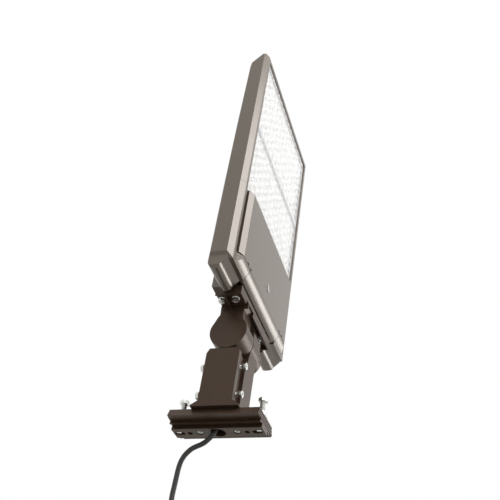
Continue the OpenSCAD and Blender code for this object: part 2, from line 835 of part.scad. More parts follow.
module front_set_bolts() {
    color(c_steel)
    for (z = [set_low, set_high]) difference() {
        union() {
            rod_y(sleeve_y0 - 0.5, cavity_y0 + spigot_gap, set_x, z, set_bolt_r);
            rod_y(sleeve_y0 - 8.5, sleeve_y0 - 0.5, set_x, z, 6.5);
        }
        rod_y(sleeve_y0 - 9.5, sleeve_y0 - 4, set_x, z, 3.5, 6);
    }
}

set_stand = 10;
set_head = 5.5;
module back_set_bolts() {
    color(c_steel)
    for (z = [set_low, set_high]) union() {
        rod_y(cavity_y1 - spigot_gap, sleeve_y1 + set_stand, set_x, z, set_bolt_r);
        rod_y(sleeve_y1 + set_stand, sleeve_y1 + set_stand + set_head, set_x, z, 7.5, 6);
    }
}

// ---- Pole plate ----

grommet_r = 10;
grommet_h = 8.5;
module spigot_base() {
    x0 = cavity_x0 + spigot_gap;
    x1 = cavity_x1 - spigot_gap;
    y0 = cavity_y0 + spigot_gap;
    y1 = cavity_y1 - spigot_gap;
    color(c_dark)
    difference() {
        union() {
            along_x(sleeve_x0, sleeve_x1, [
                [sleeve_y0 - neck_flare, plate_h], [sleeve_y0 - neck_flare, plate_h + 2.5],
                [sleeve_y0, neck_z], [sleeve_y1, neck_z], [sleeve_y1 + neck_flare, plate_h + 2.5],
                [sleeve_y1 + neck_flare, plate_h]
            ]);
            span([x0, y0, neck_z - eps], [x1, y1, neck_z + spigot_h]);
        }
        span([x0 + spigot_wall, y0 + spigot_wall, plate_h + grommet_h],
             [x1 - spigot_wall, y1 - spigot_wall, neck_z + spigot_h + eps]);
        rod_z(plate_h - eps, neck_z, 0, 0, grommet_r);
        for (s = [-1, 1]) rod_z(plate_h - eps, plate_h + 7, 0, s * plate_screw_y, plate_screw_r);
    }
}

plate_screw_y = 34.5;
plate_screw_r = 3;
module pole_plate() {
    color(c_dark)
    difference() {
        along_y(-plate_len / 2, plate_len / 2, whole([
            [plate_top_w / 2, plate_h], [plate_wide / 2, 12], [25.5, 11], [27.5, 5], [14.5, 8],
            [foot_w / 2, 0]
        ]));
        rod_z(-eps, plate_h + eps, 0, 0, cable_hole_r);
        for (s = [-1, 1]) {
            rod_z(-eps, plate_h + eps, 0, s * pole_hole_y, pole_hole_r);
            rod_z(-eps, plate_h + eps, 0, s * plate_screw_y, plate_screw_r + 0.3);
            rod_z(-eps, 7, 0, s * plate_screw_y, 6);
            for (e = [-1, 1]) rod_z(-eps, plate_h + eps, 0, s * slot_y + e * slot_half, slot_r);
            translate([-slot_r, s * slot_y - slot_half, -eps])
                cube([2 * slot_r, 2 * slot_half, plate_h + 2 * eps]);
            // Grooves across the ends
            for (z = [plate_h - 5, plate_h - 10, 12.5])
                span([-plate_wide, s * plate_len / 2 - 1, z - 0.8], [plate_wide, s * plate_len / 2 + 1, z + 0.8]);
        }
    }
}

module plate_screws() {
    color(c_steel)
    for (s = [-1, 1]) difference() {
        union() {
            rod_z(1.5, 7, 0, s * plate_screw_y, 5);
            rod_z(7, plate_h + 7, 0, s * plate_screw_y, plate_screw_r);
        }
        rod_z(0, 4.5, 0, s * plate_screw_y, 2.9, 6);
    }
}

bolt_y = slot_y + slot_half - 1;
bolt_top = plate_h + pole_bolt_rise;
module pole_bolts() {
    color(c_steel)
    for (s = [-1, 1]) difference() {
        union() {
            rod_z(2, bolt_top, 0, s * bolt_y, pole_bolt_r);
            rod_z(bolt_top, bolt_top + 6.4, 0, s * bolt_y, 9.2, 6);
        }
        rod_z(bolt_top + 5.9, bolt_top + 7, 0, s * bolt_y, 5.5);
    }
}

module pole_bolt_washers() {
    color(c_steel)
    for (s = [-1, 1]) difference() {
        rod_z(plate_h, plate_h + 2, 0, s * bolt_y, 2 * pole_bolt_r);
        rod_z(plate_h - eps, plate_h + 3, 0, s * bolt_y, pole_bolt_r + 0.05);
    }
}

module pole_bolt_nuts() {
    color(c_steel)
    for (s = [-1, 1]) difference() {
        rod_z(plate_h + 2, plate_h + 10, 0, s * bolt_y, 9.2, 6);
        rod_z(plate_h + eps, plate_h + 11, 0, s * bolt_y, pole_bolt_r + 0.02);
    }
}

module wire_grommet() {
    color(c_rubber)
    difference() {
        rod_z(plate_h, plate_h + grommet_h, 0, 0, grommet_r);
        rod_z(plate_h - eps, plate_h + grommet_h + eps, 0, 0, cable_r + 0.2);
    }
}

// ---- Supply cable ----

// One tube along the route: a ring of points square to the route at each of its points
function unit(v) = v / norm(v);
function heading(i) =
    let (n = len(route) - 1)
    i == 0 ? [0, -1] : i == n ? [0, -1] : unit(unit(route[i + 1] - route[i]) + unit(route[i] - route[i - 1]));
function ring(i) =
    let (d = heading(i), side = [-d[1], d[0]])
    [for (k = [0 : tube_sides - 1])
        let (a = 360 * (k + 0.5) / tube_sides, u = cable_r * cos(a), v = cable_r * sin(a))
        [u, route[i][0] + v * side[0], route[i][1] + v * side[1]]];

module supply_cable() {
    n = len(route);
    m = tube_sides;
    color([0.1, 0.1, 0.1])
    polyhedron(
        points = [for (i = [0 : n - 1]) each ring(i)],
        faces = concat(
            [[for (k = [m - 1 : -1 : 0]) k]],
            [for (i = [0 : n - 2], k = [0 : m - 1])
                [i * m + k, i * m + (k + 1) % m, (i + 1) * m + (k + 1) % m, (i + 1) * m + k]],
            [[for (k = [0 : m - 1]) (n - 1) * m + k]]
        ));
}

module cable_cores() {
    tip = route[len(route) - 1];
    for (k = [0 : 2]) color([[0.1, 0.1, 0.1], [0.9, 0.9, 0.9], [0.15, 0.45, 0.2]][k])
        rod_z(tip[1] - core_len, tip[1], 2 * cos(120 * k + 30), tip[0] + 2 * sin(120 * k + 30), core_r);
}

housing();
lens_frame();
lens_lower();
lens_upper();
lens_gasket();
led_board_lower();
led_board_upper();
leds_lower();
leds_upper();
frame_screws();
gear_tray();
led_driver();
surge_protector();
terminal_block();
tray_screws();
cable_gland();
door();
door_gasket();
hinge_pins();
door_latch();
arm_gasket();
arm_bracket();
arm_bolts();
friction_washer();
pivot_bolt();
pivot_washer();
arm_sleeve();
front_set_bolts();
back_set_bolts();
spigot_base();
pole_plate();
plate_screws();
pole_bolts();
pole_bolt_washers();
pole_bolt_nuts();
wire_grommet();
supply_cable();
cable_cores();
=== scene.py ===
import math

import bmesh
import bpy
from bpy.props import FloatProperty, FloatVectorProperty, PointerProperty
from mathutils import Matrix, Vector


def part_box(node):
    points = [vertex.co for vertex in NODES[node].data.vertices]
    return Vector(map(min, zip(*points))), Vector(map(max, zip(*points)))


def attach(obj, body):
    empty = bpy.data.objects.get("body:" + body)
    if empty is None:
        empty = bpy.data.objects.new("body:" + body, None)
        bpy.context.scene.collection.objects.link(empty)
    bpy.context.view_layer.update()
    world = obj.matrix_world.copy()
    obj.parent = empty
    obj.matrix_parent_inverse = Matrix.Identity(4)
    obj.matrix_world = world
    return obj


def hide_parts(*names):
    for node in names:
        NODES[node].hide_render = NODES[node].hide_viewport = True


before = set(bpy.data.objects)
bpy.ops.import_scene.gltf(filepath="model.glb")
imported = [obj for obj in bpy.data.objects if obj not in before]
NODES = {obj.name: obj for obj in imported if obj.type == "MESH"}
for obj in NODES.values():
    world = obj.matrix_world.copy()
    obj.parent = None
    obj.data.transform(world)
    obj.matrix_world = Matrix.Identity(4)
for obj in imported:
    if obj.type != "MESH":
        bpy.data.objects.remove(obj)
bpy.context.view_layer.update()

bl_info = {
    "name": "Shoebox area light",
    "version": (1, 0, 0),
    "blender": (4, 5, 0),
    "location": "3D View > Sidebar > Area light",
    "description": "Finishes, optics and supply lead of an area light on an adjustable arm, with its studio",
    "category": "Object",
}

MM = 0.001
WELD_GAP = 0.00001


def srgb(red, green, blue):
    """A colour given as 0 to 255 on a screen, in Blender's linear numbers."""
    return tuple(
        c / 12.92 if c <= 0.04045 else ((c + 0.055) / 1.055) ** 2.4
        for c in (red / 255, green / 255, blue / 255)
    )


def colour(name, description, default):
    """A colour property."""
    return FloatVectorProperty(
        name=name, description=description, subtype="COLOR", size=3, min=0, max=1, default=default
    )


def length(name, description, millimetres):
    """A length property, given in millimetres."""
    return FloatProperty(
        name=name, description=description, unit="LENGTH", subtype="DISTANCE", min=0,
        default=millimetres * MM, precision=4,
    )


class AREALIGHT_PG_finishes(bpy.types.PropertyGroup):
    """Colours of the paints, plastics and metals."""

    head_bronze: colour(
        "Head bronze", "Powder coat of the housing, the lens frame and the door", srgb(98, 87, 75)
    )
    arm_bronze: colour(
        "Arm bronze", "Powder coat of the arm, the sleeve and the pole plate", srgb(70, 54, 42)
    )
    zinc: colour("Zinc", "Bright zinc of bolts, nuts and washers", srgb(226, 226, 223))
    acrylic: colour("Acrylic", "Clear moulded optic plates", srgb(250, 250, 251))
    solder_mask: colour("Solder mask", "White mask of the light boards", srgb(247, 247, 245))
    phosphor: colour("Phosphor", "Phosphor of the light sources", srgb(232, 206, 120))
    silicone: colour("Silicone", "Seals and gaskets", srgb(38, 37, 36))
    lead_jacket: colour("Lead jacket", "Jacket of the supply lead", srgb(36, 33, 31))


class AREALIGHT_PG_sizes(bpy.types.PropertyGroup):
    """Sizes that the dressing needs and the solids can't tell."""

    dome_pitch: length("Dome pitch", "Distance between the optic domes", 22)
    dome_radius: length("Dome radius", "Radius of an optic dome at its foot", 6.5)
    dome_height: length("Dome height", "Height of an optic dome over its plate", 3.2)
    edge_round: length("Edge round", "Radius of the castings' edges", 0.9)
    lead_radius: length("Lead radius", "Radius of the supply lead", 4.5)
    core_radius: length("Core radius", "Radius of one insulated core", 1.3)
    stripped: length("Stripped end", "Bare copper at the end of each core", 9)
    hinged_width: length("Hinged width", "Width of the door's hinged strip", 208)
    thread_pitch: length("Thread pitch", "Pitch of the set and arm bolts' threads", 1.25)


class AREALIGHT_PG_studio(bpy.types.PropertyGroup):
    """Floor and lamps."""

    floor_height: FloatProperty(
        name="Floor height", description="Height of the floor, well below the raised mounting",
        unit="LENGTH", subtype="DISTANCE", default=-1.6,
    )
    lamp_power: FloatProperty(
        name="Lamp power", description="Power of the larger lamp",
        unit="POWER", subtype="POWER", min=0, default=30,
    )
    room_light: FloatProperty(
        name="Room light", description="Strength of the even light from all sides", min=0, default=0.66,
    )


def finishes():
    """The colours that are set in the panel."""
    return bpy.context.scene.arealight_finishes


def sizes():
    """The sizes that are set in the panel."""
    return bpy.context.scene.arealight_sizes


# ---- Shading ----


class Value:
    """A number that varies over a surface. Python's operators on it add Math nodes."""

    def __init__(self, shading, socket):
        self.shading = shading
        self.socket = socket

    def maths(self, operation, *numbers):
        return self.shading.node("ShaderNodeMath", {"operation": operation}, dict(enumerate(numbers)))

    def __add__(self, other):
        return self.maths("ADD", self, other)

    __radd__ = __add__

    def __sub__(self, other):
        return self.maths("SUBTRACT", self, other)

    def __rsub__(self, other):
        return self.maths("SUBTRACT", other, self)

    def __mul__(self, other):
        return self.maths("MULTIPLY", self, other)

    __rmul__ = __mul__

    def __truediv__(self, other):
        return self.maths("DIVIDE", self, other)

    def __rtruediv__(self, other):
        return self.maths("DIVIDE", other, self)

    def __pow__(self, other):
        return self.maths("POWER", self, other)

    def __rpow__(self, other):
        return self.maths("POWER", other, self)

    def __abs__(self):
        return self.maths("ABSOLUTE", self)

    def __lt__(self, other):
        return self.maths("LESS_THAN", self, other)

    def __gt__(self, other):
        return self.maths("GREATER_THAN", self, other)

    def __or__(self, other):
        return self.maths("MAXIMUM", self, other)

    __ror__ = __or__

    def __and__(self, other):
        return self.maths("MINIMUM", self, other)

    __rand__ = __and__

    def fraction(self):
        return self.maths("FRACT", self)


class Shading:
    """A node tree that starts empty, and the nodes added to it."""

    def __init__(self, tree):
        self.tree = tree
        tree.nodes.clear()

    def node(self, kind, settings=None, values=None, output=0):
        """Adds a node: first its settings, then the values or links of its sockets."""
        made = self.tree.nodes.new(kind)
        for name, value in (settings or {}).items():
            setattr(made, name, value)
        for socket, value in (values or {}).items():
            if isinstance(value, Value):
                self.tree.links.new(value.socket, made.inputs[socket])
            else:
                made.inputs[socket].default_value = value
        return Value(self, made.outputs[output])

    def end(self, kind, shader):
        """Adds the tree's last node, fed by a shader's socket."""
        self.tree.links.new(shader, self.tree.nodes.new(kind).inputs[0])

    def shown(self):
        """1 on rays that come from the camera, straight or by way of a mirror or glass."""
        camera, mirror, glass = (
            self.node("ShaderNodeLightPath", output=f"Is {kind} Ray")
            for kind in ("Camera", "Glossy", "Transmission")
        )
        return camera | mirror | glass


class Finish(Shading):
    """A material with one shader, and the nodes that feed it."""

    def __init__(self, name, **constants):
        self.material = bpy.data.materials.new(name)
        self.material.use_nodes = True
        super().__init__(self.material.node_tree)
        self.shader = self.tree.nodes.new("ShaderNodeBsdfPrincipled")
        self.end("ShaderNodeOutputMaterial", self.shader.outputs[0])
        for socket, value in constants.items():
            self.put(socket.replace("_", " ").title().replace("Ior", "IOR"), value)
        self.place = self.node("ShaderNodeTexCoord", output="Object")

    def put(self, socket, value):
        """Sets or links one of the shader's own sockets."""
        if isinstance(value, Value):
            self.tree.links.new(value.socket, self.shader.inputs[socket])
        else:
            self.shader.inputs[socket].default_value = value

    def noise(self, grain, detail=2.0, place=None):
        """Noise whose blotches are about that many metres wide."""
        return self.node(
            "ShaderNodeTexNoise", {"noise_dimensions": "3D"},
            {"Vector": place or self.place, "Scale": 1 / grain, "Detail": detail, "Roughness": 0.55},
        )

    def stretched(self, x, y, z):
        """The place with each axis scaled, for grain that runs one way."""
        return self.node("ShaderNodeVectorMath", {"operation": "MULTIPLY"}, {0: self.place, 1: (x, y, z)})

    def axes(self):
        """The three coordinates of the place."""
        split = self.node("ShaderNodeSeparateXYZ", None, {0: self.place})
        return [Value(self, socket) for socket in split.socket.node.outputs]

    def blend(self, first, second, share):
        """A colour between two, by a share from 0 to 1: inputs 6 and 7 and output 2 are the colour ones."""
        return self.node(
            "ShaderNodeMix", {"data_type": "RGBA"}, {0: share, 6: opaque(first), 7: opaque(second)}, output=2
        )

    def relief(self, height, depth, strength=1.0):
        """Bumps the surface by a height from 0 to 1 over that depth in metres."""
        self.put("Normal", self.node(
            "ShaderNodeBump", None, {"Height": height, "Distance": depth, "Strength": strength}
        ))


def opaque(value):
    """A colour with its fourth number, or a linked colour as it is."""
    return value if isinstance(value, Value) else (*value, 1.0)


def shade(tint, by):
    """A colour made lighter or darker."""
    return tuple(min(1.0, c * by) for c in tint)


# ---- Finishes ----


def powder_coat(name, tint, roughness, gloss, seam_shade=None):
    """Satin powder coat with a little metal flake: orange peel, faint clouds and a fine grain."""
    coat = Finish(name, metallic=0.25, ior=1.5, specular_ior_level=gloss)
    clouds = coat.noise(55 * MM, 3)
    grain = coat.noise(0.9 * MM, 2)
    peel = coat.noise(2.2 * MM, 2)
    paint = coat.blend(shade(tint, 0.88), shade(tint, 1.12), clouds * 0.7 + grain * 0.3)
    # Painted shade in the seams, where a mask for it is given
    if seam_shade is not None:
        paint = coat.blend(paint, shade(tint, 0.12), seam_shade(coat))
    coat.put("Base Color", paint)
    coat.put("Roughness", roughness - 0.06 + clouds * 0.08 + grain * 0.05)
    coat.relief(peel, 0.12 * MM, 0.35)
    return coat.material


def head_seam_shade(coat):
    """Painted shade where the head's castings meet: dark lines across the bevel and beside the door's hinged
    strip, and painted shadows on the door's face at the strip's ends.
    """
    x, y, z = coat.axes()
    frame_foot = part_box("lens_frame")[0].z
    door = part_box("door")[0]
    past_strip = abs(x) - sizes().hinged_width / 2
    # Painted shade in the seam across the bevel and in the gaps beside the hinged strip
    frame_seam_shade = (abs(z - frame_foot) < 0.7 * MM) & (y < -33 * MM)
    strip_gap_shade = (abs(past_strip - 0.25 * MM) < 1.1 * MM) & (z < door.z + 27 * MM) & (y < -36 * MM)
    # Painted shadows: short dark marks on the door's face, two at each end of the strip
    marks = (abs(past_strip - 4.5 * MM) < 9 * MM) & (abs(abs(past_strip - 5 * MM) - 8.6 * MM) < 2.6 * MM)
    marks = marks & (z > door.z + 22 * MM) & (z < door.z + 28.4 * MM) & (y < door.y + 3 * MM)
    return frame_seam_shade | strip_gap_shade | marks


def zinc_plate(name, tint, metallic=1.0, thread=None):
    """Bright zinc on steel with turned marks, and a thread where there are shanks.

    A thread is its axis, the two other coordinates of each shank's middle, their radius and its pitch.
    """
    plate = Finish(name, metallic=metallic)
    streaks = plate.noise(0.6 * MM, 2, plate.stretched(1, 0.25, 1))
    spots = plate.noise(4 * MM, 3)
    plate.put("Base Color", plate.blend(shade(tint, 0.78), shade(tint, 1.04), spots))
    plate.put("Roughness", 0.2 + streaks * 0.14)
    marks = streaks * 0.15
    if thread is None:
        plate.relief(marks, 0.08 * MM, 0.6)
        return plate.material
    axis, middles, shank, pitch = thread
    place = plate.axes()
    along = place.pop(axis)
    threaded = None
    for middle in middles:
        across = [p - c for p, c in zip(place, middle)]
        radius = (across[0] * across[0] + across[1] * across[1]) ** 0.5
        inside = radius < shank + 0.4 * MM
        threaded = inside if threaded is None else threaded | inside
    groove = abs((along / pitch).fraction() - 0.5) * 2.0
    plate.relief(marks + threaded * groove, pitch * 0.35, 0.9)
    return plate.material


def rubber(name, tint, roughness=0.7):
    """Moulded silicone or rubber with a matt skin."""
    skin = Finish(name)
    bloom = skin.noise(12 * MM, 3)
    grain = skin.noise(0.7 * MM, 2)
    skin.put("Base Color", skin.blend(shade(tint, 0.8), shade(tint, 1.35), bloom))
    skin.put("Roughness", roughness - 0.08 + bloom * 0.16)
    skin.relief(grain, 0.06 * MM, 0.6)
    return skin.material


def moulded(name, tint, roughness=0.45):
    """Moulded plastic with a fine spark-eroded grain."""
    part = Finish(name)
    grain = part.noise(0.6 * MM, 2)
    tone = part.noise(20 * MM, 2)
    part.put("Base Color", part.blend(shade(tint, 0.93), shade(tint, 1.05), tone))
    part.put("Roughness", roughness + grain * 0.1)
    part.relief(grain, 0.04 * MM, 0.7)
    return part.material


def sheet_steel(name, tint):
    """Zinc-coated sheet with its spangle."""
    sheet = Finish(name, metallic=0.9)
    spangle = sheet.node(
        "ShaderNodeTexVoronoi", {"feature": "F1"}, {"Vector": sheet.place, "Scale": 140.0}, output="Color"
    )
    flake = sheet.node("ShaderNodeSeparateColor", None, {0: spangle})
    sheet.put("Base Color", sheet.blend(shade(tint, 0.86), shade(tint, 1.05), flake))
    sheet.put("Roughness", 0.3 + flake * 0.16)
    return sheet.material


# Width of one light source, and the square of its spot's radius behind a dome, as a share of the pitch
CHIP = 5 * MM
SPOT = 0.0042


def from_source(x, z, half):
    """How far a place is from the nearest light source, across and along, as shares of the pitch."""
    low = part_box("leds_" + half)[0]
    return [
        ((place - first) / sizes().dome_pitch + 0.5).fraction() - 0.5
        for place, first in ((x, low.x + CHIP / 2), (z, low.z + CHIP / 2))
    ]


def clear_acrylic(half, tint):
    """Clear acrylic of one optic plate: misty, with a band at the seam and a spot at each light source."""
    clear = Finish(
        "clear acrylic " + half, ior=1.49, specular_ior_level=0.35, subsurface_weight=0.7,
        subsurface_radius=(0.9, 0.9, 1.0), subsurface_scale=8 * MM,
    )
    clear.shader.subsurface_method = "BURLEY"
    mist = clear.noise(30 * MM, 2)
    x, y, z = clear.axes()
    across, along = from_source(x, z, half)
    spot = (across * across + along * along < SPOT) & (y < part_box("lens_" + half)[0].y + 0.6 * MM)
    seam = abs(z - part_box("lens_upper")[0].z) < 5 * MM
    skin = clear.blend(shade(tint, 0.97), tint, mist)
    skin = clear.blend(skin, shade(tint, 0.72), seam * 0.75)
    clear.put("Base Color", clear.blend(skin, srgb(186, 188, 194), spot * 0.8))
    clear.put("Roughness", 0.3 + mist * 0.06)
    clear.put("Alpha", 0.5 + seam * 0.42)
    return clear.material


def light_board(half, mask):
    """White solder mask, raised over the tracks and pads."""
    board = Finish("light board " + half, roughness=0.4)
    x, y, z = board.axes()
    across, along = from_source(x, z, half)
    track = (abs(along) < 0.07) & (abs(across) > 0.16)
    pad = (abs(across) < 0.2) & (abs(along) < 0.2)
    copper = track | pad
    board.put("Base Color", board.blend(mask, shade(mask, 0.88), copper))
    board.relief(copper, 0.08 * MM)
    return board.material


def light_source(half, phosphor):
    """White ceramic with a round phosphor in the middle."""
    source = Finish("light source " + half)
    x, y, z = source.axes()
    across, along = from_source(x, z, half)
    radius = (across * across + along * along) ** 0.5
    glow = radius < 1.75 * MM / sizes().dome_pitch
    source.put("Base Color", source.blend(srgb(228, 226, 220), phosphor, glow))
    source.put("Roughness", 0.5 - glow * 0.25)
    return source.material


# ---- Solids of the frame ----


def soften(node, width):
    """Rounds a casting's edges with modifiers: flat faces are joined first, so only real edges round."""
    weld = node.modifiers.new("join", "WELD")
    weld.merge_threshold = WELD_GAP
    flat = node.modifiers.new("flat faces", "DECIMATE")
    flat.decimate_type = "DISSOLVE"
    flat.angle_limit = math.radians(0.6)
    round_off = node.modifiers.new("edges", "BEVEL")
    round_off.width = width
    round_off.segments = 2
    round_off.limit_method = "ANGLE"
    round_off.angle_limit = math.radians(28)
    round_off.miter_outer = "MITER_ARC"
    round_off.harden_normals = False
    even = node.modifiers.new("even shading", "WEIGHTED_NORMAL")
    even.keep_sharp = False
    even.weight = 80


def dress(names, material, width=None):
    """Gives solids of the frame their material and softened edges."""
    for name in names:
        node = NODES[name]
        node.data.materials.clear()
        node.data.materials.append(material)
        if width:
            soften(node, width)


def loose_centres(node):
    """Middle of each separate solid in a node."""
    form = bmesh.new()
    form.from_mesh(node.data)
    bmesh.ops.remove_doubles(form, verts=form.verts, dist=WELD_GAP)
    form.verts.ensure_lookup_table()
    left, centres = set(form.verts), []
    while left:
        group, front = set(), [left.pop()]
        while front:
            vertex = front.pop()
            group.add(vertex)
            for edge in vertex.link_edges:
                other = edge.other_vert(vertex)
                if other in left:
                    left.discard(other)
                    front.append(other)
        low = [min(v.co[i] for v in group) for i in range(3)]
        high = [max(v.co[i] for v in group) for i in range(3)]
        centres.append(tuple((a + b) / 2 for a, b in zip(low, high)))
    form.free()
    return sorted(centres)


# ---- Pieces made here ----


def piece(name, form, materials, body):
    """Turns a bmesh into a piece that rides on a body, with the finishes given."""
    bmesh.ops.recalc_face_normals(form, faces=form.faces)
    mesh = bpy.data.meshes.new(name)
    form.to_mesh(mesh)
    form.free()
    for material in materials:
        mesh.materials.append(material)
    for face in mesh.polygons:
        face.use_smooth = True
    made = bpy.data.objects.new(name, mesh)
    bpy.context.scene.collection.objects.link(made)
    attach(made, body)
    return made


def steps(low, high, count):
    """Evenly spaced numbers, both ends among them."""
    return [low + (high - low) * i / count for i in range(count + 1)]


def ease(t):
    """A smooth rise from 0 to 1."""
    return t * t * (3 - 2 * t)


# An optic dome from its foot to its top: shares of its radius and of its height
DOME_PROFILE = (
    (1.0, 0.0), (0.965, 0.16), (0.88, 0.42), (0.74, 0.66), (0.56, 0.84), (0.34, 0.96), (0.14, 1.0),
)
# Steps along each side of the square round a dome, and how far a plate's edge turns in at its foot
DOME_SIDE = 6
PLATE_EDGE = 4 * MM


def optic_plate(form, box, centres_x, centres_z, size):
    """The face of an optic plate: one unbroken skin with a dome over each light source."""
    low, high = box
    front = low.y + size.dome_height
    half = size.dome_pitch / 2
    spans = steps(-half, half, DOME_SIDE)[:-1]
    edge = [(-half, t) for t in spans] + [(t, half) for t in spans]
    edge += [(half, -t) for t in spans] + [(-t, -half) for t in spans]
    for x in centres_x:
        for z in centres_z:
            rings = [[form.verts.new((x + u, front, z + v)) for u, v in edge]]
            for share, height in DOME_PROFILE:
                reach, y = size.dome_radius * share, front - size.dome_height * height
                rings.append([
                    form.verts.new((x + reach * math.cos(turn), y, z + reach * math.sin(turn)))
                    for turn in (math.atan2(v, u) for u, v in edge)
                ])
            for outer, inner in zip(rings, rings[1:]):
                for i in range(len(edge)):
                    j = (i + 1) % len(edge)
                    form.faces.new((outer[i], outer[j], inner[j], inner[i]))
            form.faces.new(rings[-1])

    def quad(*corners):
        form.faces.new([form.verts.new(c) for c in corners])

    def margin(x0, x1, z0, z1):
        quad((x0, front, z0), (x1, front, z0), (x1, front, z1), (x0, front, z1))

    # Plain margin round the domes, with a corner at each of theirs so that the skin joins
    xs, zs = (
        [c - half + size.dome_pitch * i / DOME_SIDE for c in centres for i in range(DOME_SIDE)]
        + [centres[-1] + half]
        for centres in (centres_x, centres_z)
    )
    for a, b in zip(xs, xs[1:]):
        margin(a, b, low.z, zs[0])
        margin(a, b, zs[-1], high.z)
    for a, b in zip(zs, zs[1:]):
        margin(low.x, xs[0], a, b)
        margin(xs[-1], high.x, a, b)
    for a, b in ((low.x, xs[0]), (xs[-1], high.x)):
        margin(a, b, low.z, zs[0])
        margin(a, b, zs[-1], high.z)

    # The side walls, and the edge turned in at their foot
    foot = high.y
    rim, inner = (
        [(low.x + d, low.z + d), (high.x - d, low.z + d), (high.x - d, high.z - d), (low.x + d, high.z - d)]
        for d in (0, PLATE_EDGE)
    )
    for i in range(4):
        (a, b), (c, d) = rim[i], rim[(i + 1) % 4]
        (e, f), (g, h) = inner[i], inner[(i + 1) % 4]
        quad((a, front, b), (c, front, d), (c, foot, d), (a, foot, b))
        quad((a, foot, b), (c, foot, d), (g, foot, h), (e, foot, f))
    bmesh.ops.remove_doubles(form, verts=form.verts, dist=WELD_GAP)


def turned(form, points, radii, sides, material_of):
    """A round bar along points, with a radius at each, closed at both ends."""
    headings = [
        (points[min(i + 1, len(points) - 1)] - points[max(i - 1, 0)]).normalized()
        for i in range(len(points))
    ]
    across = headings[0].orthogonal().normalized()
    rings = []
    for point, heading, radius in zip(points, headings, radii):
        across = (across - heading * across.dot(heading)).normalized()
        other = heading.cross(across)
        rings.append([
            form.verts.new(point + radius * (across * math.cos(a) + other * math.sin(a)))
            for a in (math.tau * k / sides for k in range(sides))
        ])
    for i, (first, second) in enumerate(zip(rings, rings[1:])):
        for k in range(sides):
            face = form.faces.new((first[k], first[(k + 1) % sides], second[(k + 1) % sides], second[k]))
            face.material_index = material_of(i)
    form.faces.new(rings[0]).material_index = material_of(0)
    form.faces.new(rings[-1]).material_index = material_of(len(rings) - 2)


def smooth_line(points, between):
    """A line through all the points, with more points between them on a smooth curve."""
    ends = [points[0] * 2 - points[1], *points, points[-1] * 2 - points[-2]]
    line = []
    for i in range(1, len(ends) - 2):
        a, b, c, d = ends[i - 1:i + 3]
        for k in range(between):
            t = k / between
            line.append(0.5 * (
                2 * b + (c - a) * t + (2 * a - 5 * b + 4 * c - d) * t ** 2 + (3 * b - a - 3 * c + d) * t ** 3
            ))
    return line + [points[-1]]


# The lead's route in millimetres, Y and Z: out of the spigot and the plate, then down in a slow swing
LEAD_EXIT = [
    (0, 56), (0, 44), (0, 32), (0.5, 23), (2.5, 13.5), (6, 4.5), (10.5, -4), (16, -11.5), (22, -17.5),
    (29, -22), (37, -25.5), (45, -30), (52, -37), (57.5, -45.5), (61, -56), (62.5, -68), (63, -82),
    (63.5, -98), (64, -116),
]
LEAD_SWING, LEAD_DROP, LEAD_PARTS = 78, 192.5, 12
LEAD_ROUTE = LEAD_EXIT + [
    (LEAD_EXIT[-1][0] - LEAD_SWING * ease(i / LEAD_PARTS), LEAD_EXIT[-1][1] - LEAD_DROP * i / LEAD_PARTS)
    for i in range(1, LEAD_PARTS + 1)
]

# The cores: length past the jacket's end, start inside it, distance from its middle, spread, rings
CORE_LENGTH = 45 * MM
CORE_TUCK = 3 * MM
CORE_OFFSET = 2 * MM
CORE_SPREAD = 3.2 * MM
CORE_RINGS = 24


def round_lead(name, line, radius, material):
    """A round cable along a line, as a curve."""
    curve = bpy.data.curves.new(name, "CURVE")
    curve.dimensions = "3D"
    curve.bevel_depth = radius
    curve.bevel_resolution = 6
    curve.use_fill_caps = True
    spline = curve.splines.new("POLY")
    spline.points.add(len(line) - 1)
    for point, at in zip(spline.points, line):
        point.co = (*at, 1)
    spline.use_smooth = True
    curve.materials.append(material)
    lead = bpy.data.objects.new(name, curve)
    bpy.context.scene.collection.objects.link(lead)
    return lead


def bare_core(name, tip, degrees, tint, copper):
    """One core: it leaves the jacket's end to that side, hangs down and ends in bare copper."""
    size = sizes()
    out = Vector((math.cos(math.radians(degrees)), math.sin(math.radians(degrees)), 0))
    start = tip + Vector((0, 0, CORE_TUCK))
    reach = CORE_LENGTH + CORE_TUCK
    points = [
        start + out * (CORE_OFFSET + CORE_SPREAD * ease(t)) - Vector((0, 0, reach * t))
        for t in steps(0, 1, CORE_RINGS)
    ]
    # Two rings close together make the step from the insulation to the copper
    last = round(CORE_RINGS * (1 - size.stripped / reach))
    points.insert(last + 1, points[last] + (points[last + 1] - points[last]) * 0.02)
    radii = [size.core_radius] * (last + 1) + [0.7 * size.core_radius] * (len(points) - last - 1)
    form = bmesh.new()
    turned(form, points, radii, 14, lambda ring: int(ring > last))
    return piece(name, form, [moulded(name + " sleeve", tint, 0.35), copper], "mount")


# Where the picture was taken: place in metres, the picture's right and up, lens and sensor in millimetres
VIEW_PLACE = (-1.1611, -0.4920, -0.6227)
VIEW_RIGHT = (0.2861, -0.9496, 0.1284)
VIEW_UP = (-0.6437, -0.0912, 0.7599)
VIEW_LENS, VIEW_SENSOR = 56.448, 36

# The floor from its middle to its edge, and how far the camera sees
FLOOR_REACH = 60


class AREALIGHT_OT_viewpoint(bpy.types.Operator):
    """Set the camera below the lens side, where the picture was taken"""

    bl_idname = "arealight.viewpoint"
    bl_label = "Viewpoint"

    def execute(self, context):
        data = bpy.data.cameras.new("viewpoint")
        data.sensor_width = VIEW_SENSOR
        data.lens = VIEW_LENS
        data.clip_end = FLOOR_REACH
        camera = bpy.data.objects.new("viewpoint", data)
        context.scene.collection.objects.link(camera)
        right, up = Vector(VIEW_RIGHT), Vector(VIEW_UP)
        turn = Matrix((right, up, right.cross(up))).transposed().to_4x4()
        camera.matrix_world = Matrix.Translation(VIEW_PLACE) @ turn
        context.scene.camera = camera
        return {"FINISHED"}


